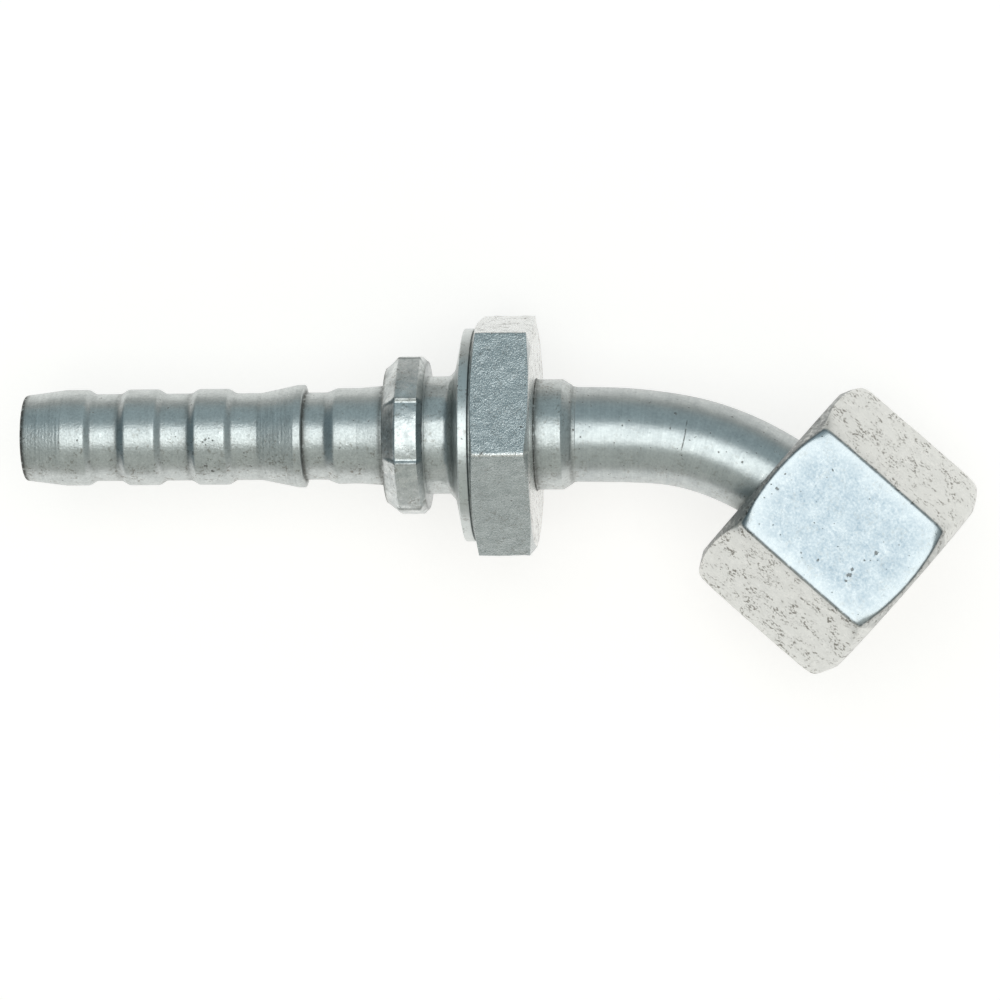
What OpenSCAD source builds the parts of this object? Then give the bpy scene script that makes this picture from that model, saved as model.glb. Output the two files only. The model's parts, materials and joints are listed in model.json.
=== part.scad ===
// Bent hose fitting: a barbed insert for a crimped hose, a bent steel tube and a loose swivel nut
// round a 24 degree sealing cone. The insert lies along X with its tip at the origin, the tube bends
// towards -Y, and Z points up from the plane of the bend.

/* [Flow path] */
// Bore of the hose insert
insert_bore_d = 9.2; // [7:0.1:9.6]
// Outer diameter of the bent tube
tube_od = 12.7; // [12.3:0.1:13.2]
// Wall of the bent tube
tube_wall = 1.75; // [1.4:0.05:2.4]
// Radius of the bend, at the middle of the tube
bend_r = 39.1; // [32:0.1:60]
// Angle of the bend
bend_angle = 41.5; // [20:0.5:90]
// Straight tube between the hub and the bend
lead_len = 5.7; // [2:0.1:30]
// Straight tube between the bend and the sealing head
stub_len = 1.5; // [1.2:0.1:10]
// How much the tube's end is turned down, on its radius, to enter the sealing head
spigot_cut = 0.15; // [0.1:0.05:0.4]
// How much the bore is reamed out there, on its radius
end_ream = 0.2; // [0.05:0.05:0.3]

/* [Hose tail] */
// Diameter of the tail's tip
tip_d = 11.4; // [10.9:0.1:12]
// Rounding of the tip's edge
tip_round = 0.4; // [0.1:0.05:0.6]
// Flare at the mouth of the bore
mouth_flare = 0.3; // [0.1:0.05:0.5]
// Diameter over the hose ridges
ridge_d = 12.9; // [12.4:0.1:13.4]
// Diameter of the grooves between the ridges
groove_d = 11.7; // [11.3:0.1:12.2]
// Number of hose ridges
ridge_count = 3; // [1:1:6]
// Distance from one ridge to the next
ridge_pitch = 9.5; // [8:0.1:14]
// Length of the flat top of a ridge
ridge_len = 3.9; // [2:0.1:4.5]
// Length of the flat top of the first ridge, behind the lead cone
first_ridge_len = 3.2; // [1.5:0.1:4.5]
// Length of the slope up to a ridge
ridge_rise = 1.4; // [0.5:0.05:2]
// Length of the slope down behind a ridge
ridge_fall = 1.3; // [0.5:0.05:1.6]
// Distance from the tip to the back of the first ridge
first_ridge_end = 8.8; // [7.5:0.1:14]
// Groove between the last ridge and the barb
barb_gap = 4.2; // [2.5:0.1:10]
// Diameter over the lip of the barb
barb_d = 13.8; // [13.4:0.1:14.4]
// Length of the barb's cone
barb_len = 5; // [3:0.1:10]
// Length of the barb's lip
lip_len = 0.95; // [0.4:0.05:2]
// Groove between the barb and the land
land_gap = 3; // [1.5:0.1:8]
// Length of the slope up to the land
land_rise = 1.35; // [0.5:0.05:3]
// Diameter of the land in front of the collar
land_d = 12.85; // [12.4:0.05:13.3]
// Length of the straight land
land_len = 3.1; // [1:0.1:8]
// Length of the land's flare up to the collar
flare_len = 3.6; // [1:0.1:6]
// Diameter of the flare where it meets the collar
flare_d = 13.4; // [13.3:0.05:14.5]

/* [Locking collar] */
// Distance between opposite flats of the eight-sided collar
collar_af = 20.9; // [19.4:0.1:21.4]
// Diameter over the collar's corners
collar_d = 22; // [21.1:0.1:22.4]
// Diameter of the collar's front face
collar_face_d = 18; // [16.5:0.1:19.2]
// Length of the collar's front chamfer
collar_lead = 2; // [0.6:0.1:2.2]
// Length of the whole collar
collar_len = 5.3; // [3.6:0.1:9]
// Chamfer at the back of the collar
collar_edge = 1.3; // [0.1:0.05:1.4]
// Turn of the collar about the insert's axis
collar_turn = 19; // [-22:1:22]
// Diameter of the neck that the hose shell locks round
neck_d = 15.85; // [14.6:0.05:16.6]
// Straight length of the neck
neck_len = 2.1; // [0.6:0.1:6]
// Fillet between the neck and the flange
neck_fillet = 2.3; // [1.5:0.1:3]

/* [Flange and hexagon] */
// Diameter of the flange
flange_d = 28.5; // [26:0.1:29]
// Thickness of the flange's rim
flange_t = 1.3; // [0.8:0.1:4]
// How far the flange's front face leans back at its rim
flange_lean = 0.85; // [0.2:0.05:1.2]
// Width of the fine groove between the flange and the hexagon
relief_w = 0.3; // [0.2:0.05:1]
// Depth of that groove below the flange
relief_depth = 0.45; // [0.2:0.05:1]
// Distance between opposite flats of the wrench hexagon
hex_af = 30; // [29:0.1:36]
// Length of the wrench hexagon
hex_len = 7.9; // [5:0.1:20]
// Diameter of the hexagon's flat end faces
hex_face_d = 28.8; // [27:0.1:29.6]
// Length that the corner chamfers take at each end of the hexagon
hex_chamfer = 0.6; // [0.2:0.05:1.5]
// Turn of the hexagon about the insert's axis
hex_turn = 8; // [-30:0.5:30]
// Diameter of the hub that holds the tube
hub_d = 14.75; // [14.6:0.05:17]
// Length of the hub behind the hexagon
hub_len = 3.6; // [1.5:0.1:12]
// Length of the hub's tapered end
hub_taper = 1.2; // [0.5:0.1:4]
// Wall left at the very end of the hub's taper
hub_lip = 0.2; // [0.1:0.05:0.4]
// Depth of the tube's socket in the hub and hexagon
hub_socket = 8; // [4:0.1:12]

/* [Sealing head] */
// Diameter of the sealing cone at its big end
cone_d = 18; // [17.6:0.1:18.6]
// Full angle of the sealing cone
cone_angle = 24; // [20:0.5:28]
// Length of the sealing cone
cone_len = 9.9; // [8.5:0.1:12]
// Chamfer at the tip of the cone
cone_edge = 0.4; // [0.1:0.05:0.6]
// Diameter of the head's shoulder
shoulder_d = 21.2; // [20:0.1:21.7]
// Length of the straight part of the shoulder
shoulder_len = 1.6; // [0.8:0.1:3]
// Depth of the tube's socket in the head
head_socket = 4.4; // [3:0.1:4.8]
// Thickness of the sealing ring
ring_t = 2; // [1.5:0.05:2.3]
// How far the sealing ring stands proud of the cone
ring_proud = 0.15; // [0.05:0.05:0.3]
// Room beside the sealing ring in its groove
ring_room = 0.4; // [0.2:0.05:0.8]
// Distance from the cone's big end to the middle of the sealing ring
ring_x = 3.4; // [2.4:0.1:4.5]

/* [Swivel nut] */
// Distance between opposite flats of the nut
nut_af = 29.5; // [29:0.1:36]
// Length of the nut
nut_len = 23.5; // [22.6:0.1:28]
// Diameter of the nut's flat end faces
nut_face_d = 27.8; // [26.6:0.1:29.4]
// Angle of the nut's corner chamfers
nut_chamfer_angle = 25; // [15:1:40]
// Turn of the nut about its own axis
nut_turn = 25.4; // [0:0.2:60]
// Bore at the back of the nut
nut_back_d = 16.3; // [15.4:0.1:17]
// Diameter of the nut's bore at the thread's crests
thread_bore_d = 22.4; // [22:0.05:23.2]
// Nominal diameter of the thread, where the mouth's chamfer begins
thread_d = 24; // [23.6:0.1:25]
// Length of the plain back bore, up to the 45 degree seat
nut_back_len = 7.2; // [6:0.1:8]

/* [Fits] */
// Clearance on the tube's radius in its two brazed sockets
braze_gap = 0.05; // [0.02:0.01:0.15]
// Width of the brazing fillet on the tube
braze_w = 0.7; // [0.3:0.05:1]
// How far the head's back face stands inside the start of the nut's 45 degree seat
seat_overlap = 1.1; // [0.6:0.1:2.5]
// Gap square to the nut's seat when the nut hangs loose
seat_gap = 0.3; // [0.15:0.05:0.6]

/* [Hidden] */

$fn = 96;
ARC_STEPS = 10;
OVERCUT = 1;
HEX_SIDES = 6;
COLLAR_SIDES = 8;
ZINC = "lightslategray";
PALE_ZINC = "silver";
BRASS = "darkgoldenrod";
RUBBER = "dimgray";

tube_id = tube_od - 2 * tube_wall;
socket_r = tube_od / 2 + braze_gap;
spigot_d = tube_od - 2 * spigot_cut;
head_socket_r = spigot_d / 2 + braze_gap;
// How far the turned-down end reaches back into the bend's solid
BITE = 0.5;

// Stations along the insert, each reckoned from the one before it
last_ridge_end = first_ridge_end + (ridge_count - 1) * ridge_pitch;
barb_x = last_ridge_end + barb_gap;
lip_x = barb_x + barb_len;
barb_end = lip_x + lip_len;
land_x = barb_end + land_gap + land_rise;
flare_x = land_x + land_len;
collar_x = flare_x + flare_len;
collar_end = collar_x + collar_len;
fillet_x = collar_end + neck_len;
flange_face_x = fillet_x + neck_fillet;
flange_x = flange_face_x + flange_lean;
flange_end = flange_x + flange_t;
hex_x = flange_end + relief_w;
hex_end = hex_x + hex_len;
hub_end = hex_end + hub_len + hub_taper;
socket_x = hub_end - hub_socket;
bend_x = hub_end + lead_len;

// The head's and the nut's own frame: its X runs out along the nut's axis from the end of the bend
shoulder_face_r = nut_back_d / 2 + seat_overlap - seat_gap * sqrt(2);
shoulder_rise = shoulder_d / 2 - shoulder_face_r;
cone_x = stub_len + shoulder_rise + shoulder_len;
head_end = cone_x + cone_len;
nut_x = stub_len - nut_back_len - seat_overlap;
seat_rise = (thread_bore_d - nut_back_d) / 2;
cone_slope = tan(cone_angle / 2);
ring_seat_r = cone_d / 2 - ring_x * cone_slope + ring_proud - ring_t;
ring_mid_r = ring_seat_r + ring_t / 2;

// Points of an arc in a turned outline: centre x and r, radius, first and last angle
function arc(cx, cr, radius, from, to) = [
    for (i = [0 : ARC_STEPS])
        let (a = from + (to - from) * i / ARC_STEPS)
        [cx + radius * cos(a), cr + radius * sin(a)]
];

// Solid turned about X from an outline of [x, radius] points
module turned(outline) {
    rotate([0, 90, 0])
        rotate_extrude()
            polygon([for (p = outline) [p[1], p[0]]]);
}

// Prism along X with flat sides, from x = start, turned about X
module flat_sided(sides, across_flats, start, length, turn) {
    translate([start, 0, 0])
        rotate([0, 90, 0])
            rotate([0, 0, turn])
                cylinder(h = length, d = across_flats / cos(180 / sides), $fn = sides);
}

// Outline of the double cone that chamfers a prism's corners at both ends: it widens by slope from face_r
function corner_cones(start, length, face_r, slope) = [
    [start, 0],
    [start, face_r],
    [start + length / 2, face_r + slope * length / 2],
    [start + length, face_r],
    [start + length, 0]
];

// Puts its children in the frame of the head and the nut
module at_bend_end() {
    translate([bend_x, -bend_r, 0])
        rotate([0, 0, -bend_angle])
            translate([0, bend_r, 0])
                children();
}

// Outline of the tail: rounded tip, lead cone, ridges, barb, land and flare
function tail_outline() = concat(
    [[0, 0]],
    arc(tip_round, tip_d / 2 - tip_round, tip_round, 180, 90),
    [[first_ridge_end - first_ridge_len, ridge_d / 2]],
    [
        for (i = [0 : ridge_count - 1])
            let (back = first_ridge_end + i * ridge_pitch)
            each concat(
                i == 0 ? [] : [
                    [back - ridge_len - ridge_rise, groove_d / 2],
                    [back - ridge_len, ridge_d / 2]
                ],
                [[back, ridge_d / 2], [back + ridge_fall, groove_d / 2]]
            )
    ],
    [
        [barb_x, groove_d / 2],
        [lip_x, barb_d / 2],
        [barb_end, barb_d / 2],
        [barb_end, groove_d / 2],
        [barb_end + land_gap, groove_d / 2],
        [land_x, land_d / 2],
        [flare_x, land_d / 2],
        [collar_x, flare_d / 2]
    ]
);

// Outline of the core behind the collar's face: neck, fillet, flange, relief groove and hub
function core_outline() = concat(
    [[collar_x, neck_d / 2]],
    arc(fillet_x, neck_d / 2 + neck_fillet, neck_fillet, -90, 0),
    [
        [flange_x, flange_d / 2],
        [flange_end, flange_d / 2],
        [flange_end, flange_d / 2 - relief_depth],
        [hex_x + hex_len / 2, flange_d / 2 - relief_depth],
        [hex_x + hex_len / 2, hub_d / 2],
        [hex_end + hub_len, hub_d / 2],
        [hub_end, socket_r + hub_lip],
        [hub_end, 0]
    ]
);

// Eight-sided collar that the hose shell is pressed on to, with its corners turned round
module collar() {
    intersection() {
        flat_sided(COLLAR_SIDES, collar_af, collar_x, collar_len, collar_turn);
        turned([
            [collar_x, 0],
            [collar_x, collar_face_d / 2],
            [collar_x + collar_lead, collar_d / 2],
            [collar_end - collar_edge, collar_d / 2],
            [collar_end, collar_d / 2 - collar_edge],
            [collar_end, 0]
        ]);
    }
}

// Wrench hexagon with its corners chamfered at both ends
module wrench_hex() {
    corner_r = hex_af / 2 / cos(180 / HEX_SIDES);
    slope = (corner_r - hex_face_d / 2) / hex_chamfer;
    intersection() {
        flat_sided(HEX_SIDES, hex_af, hex_x, hex_len, hex_turn);
        turned(corner_cones(hex_x, hex_len, hex_face_d / 2, slope));
    }
}

// Insert in one piece: tail, collar, neck, flange, hexagon and hub, with the bore and tube socket
module hose_insert() {
    color(ZINC)
        difference() {
            union() {
                turned(concat(tail_outline(), [[collar_x + OVERCUT, flare_d / 2], [collar_x + OVERCUT, 0]]));
                turned(concat([[collar_x, 0]], core_outline()));
                collar();
                wrench_hex();
            }
            turned([
                [-OVERCUT, 0],
                [-OVERCUT, insert_bore_d / 2 + mouth_flare + OVERCUT],
                [mouth_flare, insert_bore_d / 2],
                [socket_x, insert_bore_d / 2],
                [socket_x, socket_r],
                [hub_end + OVERCUT, socket_r],
                [hub_end + OVERCUT, 0]
            ]);
        }
}

// Fillet of brazing metal round a tube of radius r that enters a socket at x = face
module braze_fillet(face, r, height, spread) {
    color(BRASS)
        turned([
            [face, r],
            [face, r + height],
            [face + spread, r]
        ]);
}

module hub_braze() {
    braze_fillet(hub_end, tube_od / 2, braze_gap + hub_lip, braze_w);
}

module head_braze() {
    at_bend_end()
        braze_fillet(stub_len, spigot_d / 2, braze_w, -braze_w);
}

// Solid of the tube's path: d through the bend, end_d in the head, run past each end by a length
module tube_path(d, end_d, past) {
    translate([socket_x - past, 0, 0])
        rotate([0, 90, 0])
            cylinder(h = bend_x - socket_x + past, d = d);
    translate([bend_x, -bend_r, 0])
        rotate([180, 0, 90])
            rotate_extrude(angle = bend_angle)
                translate([bend_r, 0])
                    circle(d = d);
    at_bend_end()
        translate([-BITE, 0, 0])
            rotate([0, 90, 0])
                cylinder(h = BITE + stub_len + head_socket + past, d = end_d);
}

// Bent tube, from the floor of the hub's socket to the floor of the head's
module elbow_tube() {
    color(ZINC)
        difference() {
            tube_path(tube_od, spigot_d, 0);
            tube_path(tube_id, tube_id + 2 * end_ream, OVERCUT);
        }
}

// Sealing head: 45 degree shoulder, step, 24 degree cone and the groove for the sealing ring
module cone_head() {
    ring_half = (ring_t + ring_room) / 2;
    ring_at = cone_x + ring_x;
    outline = [
        [stub_len, head_socket_r],
        [stub_len, shoulder_face_r],
        [stub_len + shoulder_rise, shoulder_d / 2],
        [cone_x, shoulder_d / 2],
        [cone_x, cone_d / 2],
        [ring_at - ring_half, cone_d / 2 - (ring_x - ring_half) * cone_slope],
        [ring_at - ring_half, ring_seat_r],
        [ring_at + ring_half, ring_seat_r],
        [ring_at + ring_half, cone_d / 2 - (ring_x + ring_half) * cone_slope],
        [head_end - cone_edge, cone_d / 2 - (cone_len - cone_edge) * cone_slope],
        [head_end, cone_d / 2 - cone_len * cone_slope - cone_edge],
        [head_end, tube_id / 2],
        [stub_len + head_socket, tube_id / 2],
        [stub_len + head_socket, head_socket_r]
    ];
    color(PALE_ZINC)
        at_bend_end()
            turned(outline);
}

// Rubber sealing ring in the cone's groove
module o_ring() {
    color(RUBBER)
        at_bend_end()
            translate([cone_x + ring_x, 0, 0])
                rotate([0, 90, 0])
                    rotate_extrude()
                        translate([ring_mid_r, 0])
                            circle(d = ring_t);
}

// Nut with a plain back bore, a 45 degree seat and the bore of its thread
module swivel_nut() {
    mouth = (thread_d - thread_bore_d) / 2;
    color(PALE_ZINC)
        at_bend_end()
            translate([nut_x, 0, 0])
                difference() {
                    intersection() {
                        flat_sided(HEX_SIDES, nut_af, 0, nut_len, nut_turn);
                        turned(corner_cones(0, nut_len, nut_face_d / 2, 1 / tan(nut_chamfer_angle)));
                    }
                    turned([
                        [-OVERCUT, 0],
                        [-OVERCUT, nut_back_d / 2],
                        [nut_back_len, nut_back_d / 2],
                        [nut_back_len + seat_rise, thread_bore_d / 2],
                        [nut_len - mouth, thread_bore_d / 2],
                        [nut_len + OVERCUT, thread_d / 2 + OVERCUT],
                        [nut_len + OVERCUT, 0]
                    ]);
                }
}

hose_insert();
hub_braze();
elbow_tube();
head_braze();
cone_head();
o_ring();
swivel_nut();
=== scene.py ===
import json
import math

import bpy
import numpy as np
from mathutils import Matrix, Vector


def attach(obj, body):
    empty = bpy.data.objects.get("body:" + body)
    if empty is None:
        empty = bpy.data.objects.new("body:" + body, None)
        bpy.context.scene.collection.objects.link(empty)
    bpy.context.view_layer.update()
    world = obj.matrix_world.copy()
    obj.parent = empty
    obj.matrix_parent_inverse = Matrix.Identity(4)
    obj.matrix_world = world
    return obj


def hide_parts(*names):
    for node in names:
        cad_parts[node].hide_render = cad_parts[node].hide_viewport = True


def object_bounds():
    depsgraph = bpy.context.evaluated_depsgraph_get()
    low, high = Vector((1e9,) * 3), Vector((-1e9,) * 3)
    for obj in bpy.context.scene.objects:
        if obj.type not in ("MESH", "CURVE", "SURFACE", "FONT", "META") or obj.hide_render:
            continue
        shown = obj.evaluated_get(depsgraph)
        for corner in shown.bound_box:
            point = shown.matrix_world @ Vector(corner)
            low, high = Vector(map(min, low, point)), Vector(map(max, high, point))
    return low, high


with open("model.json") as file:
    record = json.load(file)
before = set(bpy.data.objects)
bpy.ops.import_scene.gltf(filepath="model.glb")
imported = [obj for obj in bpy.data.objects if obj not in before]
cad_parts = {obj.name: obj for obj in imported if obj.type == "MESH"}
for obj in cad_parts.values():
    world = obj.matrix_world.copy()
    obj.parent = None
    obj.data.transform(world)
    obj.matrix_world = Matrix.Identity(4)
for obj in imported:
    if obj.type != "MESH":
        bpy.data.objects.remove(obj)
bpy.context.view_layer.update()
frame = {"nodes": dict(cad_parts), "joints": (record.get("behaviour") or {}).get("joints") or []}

print("model loaded:", ", ".join(sorted(frame["nodes"])))

# Sizes in the dictionaries are millimetres and angles are degrees. Every piece is worked out along
# its own axis, x, with the angle theta counted from +Z towards +Y, and is then put in its place.
mm = 0.001
fullTurn = 2 * math.pi

# The bend, worked out from the nut's joint: its end, its direction, its radius and its start
spin = frame["joints"][0]
bendEnd = np.array(spin["pos_m"]) / mm
nutAxis = np.array(spin["axis"])
bendAngle = math.atan2(-nutAxis[1], nutAxis[0])
bendRadius = -bendEnd[1] / (1 - math.cos(bendAngle))
bendStart = bendEnd[0] - bendRadius * math.sin(bendAngle)
nutSide = np.array([-nutAxis[1], nutAxis[0], 0])
up = np.array([0.0, 0.0, 1.0])


def softLower(a, b, width):
    # The lower of two surfaces, with the edge between them rounded over about width:
    # half of a + b less the root of (a - b) squared + width squared
    return (a + b - np.sqrt((a - b) ** 2 + width ** 2)) / 2


rounds = {"arcShare": 0.48, "leastCut": 1e-4, "degreesPerPart": 14, "leastParts": 3, "dirtAndShadeReach": 0.3}


def outlineOf(corners, step):
    # Closed outline through corners (x, radius, rounding, darkening by dirt and painted shade). Each
    # corner becomes an arc that touches both its sides, rounding * tan(half the turn) away from it and
    # at most arcShare of the shorter side. The straight runs between arcs are cut into equal parts of
    # at most step. The darkening fades away from its corner as exp(-distance / dirtAndShadeReach).
    s = rounds
    spots = np.array([complex(c[0], c[1]) for c in corners])
    coming = spots - np.roll(spots, 1)
    going = np.roll(spots, -1) - spots
    turn = np.angle(going / coming)
    longest = np.minimum(abs(coming), abs(going)) * s["arcShare"]
    rounding = np.array([c[2] for c in corners])
    cut = np.minimum(rounding * np.tan(abs(turn) / 2), longest)
    line, darkDirtAndShade = [], []
    for i, corner in enumerate(corners):
        before = coming[i] / abs(coming[i])
        start = spots[i] - before * cut[i]
        if cut[i] > s["leastCut"]:
            radius = cut[i] / math.tan(abs(turn[i]) / 2)
            middle = start + before * 1j * np.sign(turn[i]) * radius
            parts = max(s["leastParts"], math.ceil(abs(math.degrees(turn[i])) / s["degreesPerPart"]))
            swing = np.exp(1j * turn[i] * np.linspace(0, 1, parts + 1))
            arc = middle + (start - middle) * swing
        else:
            arc = np.array([spots[i]])
        following = (i + 1) % len(corners)
        last = spots[following] - going[i] / abs(going[i]) * cut[following]
        run = abs(last - arc[-1])
        share = np.linspace(0, 1, max(1, math.ceil(run / step)) + 1)[1:-1]
        line += [arc, arc[-1] + (last - arc[-1]) * share]
        fade = np.maximum(corner[3] * np.exp(-run * share / s["dirtAndShadeReach"]),
            corners[following][3] * np.exp(-run * (1 - share) / s["dirtAndShadeReach"]))
        darkDirtAndShade += [np.full(len(arc), float(corner[3])), fade]
    line = np.concatenate(line)
    return line.real, line.imag, np.concatenate(darkDirtAndShade)


def evenTurn(columns):
    # Angles at equal steps round the axis
    return np.arange(columns) * fullTurn / columns


def turnByFlats(flats, perFlat, turn, crowding):
    # Angles round the axis that crowd together near a prism's corners:
    # flat middle + half a flat * (u + crowding * sin(pi u) / pi), for u from -1 to 1
    u = np.arange(perFlat) * 2 / perFlat - 1
    local = (u + crowding * np.sin(math.pi * u) / math.pi) * math.pi / flats
    middles = math.radians(turn) + np.arange(flats) * fullTurn / flats
    return (middles[:, None] + local[None, :]).ravel()


def angleFrom(theta, direction, period=fullTurn):
    # Angle of theta from a direction in degrees, wrapped to half a period either way
    return (theta - math.radians(direction) + period / 2) % period - period / 2


def flatSided(theta, flats, acrossFlats, turn, rounding):
    # Radius of a prism: half across flats / cos(angle off the nearest flat's middle), with the
    # next flat's own plane cut in softly, which rounds the corner
    sector = fullTurn / flats
    off = np.abs(angleFrom(theta, turn, sector))
    return softLower(acrossFlats / 2 / np.cos(off), acrossFlats / 2 / np.cos(sector - off), rounding)


def byRow(values):
    # One value for each row of a grid becomes a column; a whole grid stays as it is
    return values if values.ndim == 2 else values[:, None]


def turned(x, radius, theta):
    # Points of a turned surface, with a row for each x and a column for each theta:
    # (x, radius * sin theta, radius * cos theta)
    x, radius, theta = np.broadcast_arrays(x[:, None], byRow(radius), theta[None, :])
    return np.stack([x, radius * np.sin(theta), radius * np.cos(theta)], axis=-1)


def ripples(points, wavelength, seed, waves=18, spread=(0.7, 1.4)):
    # Sum of plane sine waves, each with its own direction, its own phase and a length of
    # wavelength times a share from the spread, over the root of their number
    draw = np.random.default_rng(seed)
    ways = draw.normal(size=(waves, 3))
    ways /= np.linalg.norm(ways, axis=1)[:, None]
    ways *= fullTurn / (wavelength * draw.uniform(*spread, waves))[:, None]
    phases = draw.uniform(0, fullTurn, waves)
    total = np.zeros(points.shape[:-1])
    for way, phase in zip(ways, phases):
        total += np.sin(points @ way + phase)
    return total / math.sqrt(waves)


def uneven(x, radius, theta, waves, share=1.0, sunk=0.0):
    # Turned surface of radius + share * (sum of depth * ripples - sunk), where waves holds
    # (wavelength, seed, depth) and share says which rows are uneven
    even = turned(x, radius, theta)
    dents = sum(ripples(even, wavelength, seed) * depth for wavelength, seed, depth in waves)
    return turned(x, byRow(radius) + (dents - sunk) * share, theta)


def onBendEnd(points):
    # Moves points to the end of the bend: its place + x along the nut's axis + y to the side + z up
    return (bendEnd + points[..., 0:1] * nutAxis + points[..., 1:2] * nutSide
        + points[..., 2:3] * up)


def pointAttribute(mesh, name, kind, field, values):
    mesh.attributes.new(name, kind, "POINT").data.foreach_set(field, values.astype(np.float32).ravel())


def makePiece(name, points, local, dirtAndShade, marks, material, body, node):
    # Closed skin over a grid of points that wraps round both ways. Six times its volume is the sum
    # over its triangles of a . (b x c), and where that is below zero the faces are turned over.
    # local is where the finish's patterns are read, and marks holds how strongly lines, stains with
    # painted sheen, and polish show, each for the whole piece, per row or per point; the darkening by
    # dirt and painted shade is given the same ways.
    rows, columns = points.shape[:2]
    place = np.arange(rows * columns).reshape(rows, columns)
    beside = np.roll(place, -1, axis=1)
    quads = np.stack([place, beside, np.roll(beside, -1, axis=0), np.roll(place, -1, axis=0)],
        axis=-1).reshape(-1, 4)
    spots = points.reshape(-1, 3)
    a, b, c, d = (spots[quads[:, i]] for i in range(4))
    if np.sum(a * np.cross(b, c)) + np.sum(a * np.cross(c, d)) < 0:
        quads = quads[:, ::-1]
    mesh = bpy.data.meshes.new(name)
    mesh.vertices.add(len(spots))
    mesh.vertices.foreach_set("co", (spots * mm).astype(np.float32).ravel())
    mesh.loops.add(quads.size)
    mesh.loops.foreach_set("vertex_index", quads.astype(np.int32).ravel())
    mesh.polygons.add(len(quads))
    mesh.polygons.foreach_set("loop_start", np.arange(0, quads.size, 4, dtype=np.int32))
    mesh.update(calc_edges=True)
    mesh.validate()
    mesh.polygons.foreach_set("use_smooth", np.ones(len(quads), bool))
    shares = np.stack([np.broadcast_to(mark, (rows, columns)) for mark in marks], axis=-1)
    pointAttribute(mesh, "place", "FLOAT_VECTOR", "vector", local)
    pointAttribute(mesh, "dirtAndShade", "FLOAT", "value", np.broadcast_to(dirtAndShade, (rows, columns)))
    pointAttribute(mesh, "marks", "FLOAT_VECTOR", "vector", shares)
    mesh.materials.append(material)
    piece = bpy.data.objects.new(name, mesh)
    bpy.context.scene.collection.objects.link(piece)
    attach(piece, body)
    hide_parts(node)
    return piece


def addNode(tree, kind, inputs, **settings):
    made = tree.nodes.new(kind)
    for key, value in settings.items():
        setattr(made, key, value)
    for key, value in inputs.items():
        if isinstance(value, bpy.types.NodeSocket):
            tree.links.new(value, made.inputs[key])
        else:
            made.inputs[key].default_value = value
    return made


def calc(tree, operation, a, b=0.0):
    return addNode(tree, "ShaderNodeMath", {0: a, 1: b}, operation=operation).outputs[0]


def ramp(tree, value, low, high, first=0.0, last=1.0):
    # Value between low and high becomes first to last, clamped
    inputs = {0: value, 1: low, 2: high, 3: first, 4: last}
    return addNode(tree, "ShaderNodeMapRange", inputs).outputs[0]


def aboutMiddle(tree, value):
    return calc(tree, "SUBTRACT", value, 0.5)


def times(tree, value, *factors):
    for factor in factors:
        value = calc(tree, "MULTIPLY", value, factor)
    return value


def vectorMath(tree, operation, a, b=(0.0, 0.0, 0.0)):
    return addNode(tree, "ShaderNodeVectorMath", {0: a, 1: b}, operation=operation).outputs


def noise(tree, place, scale, detail=2.0, roughness=0.5, distortion=0.0):
    return addNode(tree, "ShaderNodeTexNoise", {
        "Vector": place, "Scale": scale, "Detail": detail,
        "Roughness": roughness, "Distortion": distortion}).outputs[0]


def tint(tree, share, first, second):
    return addNode(tree, "ShaderNodeMix", {0: share, 6: first, 7: second}, data_type="RGBA").outputs[2]


def attribute(tree, name, output):
    return addNode(tree, "ShaderNodeAttribute", {}, attribute_name=name).outputs[output]


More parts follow.
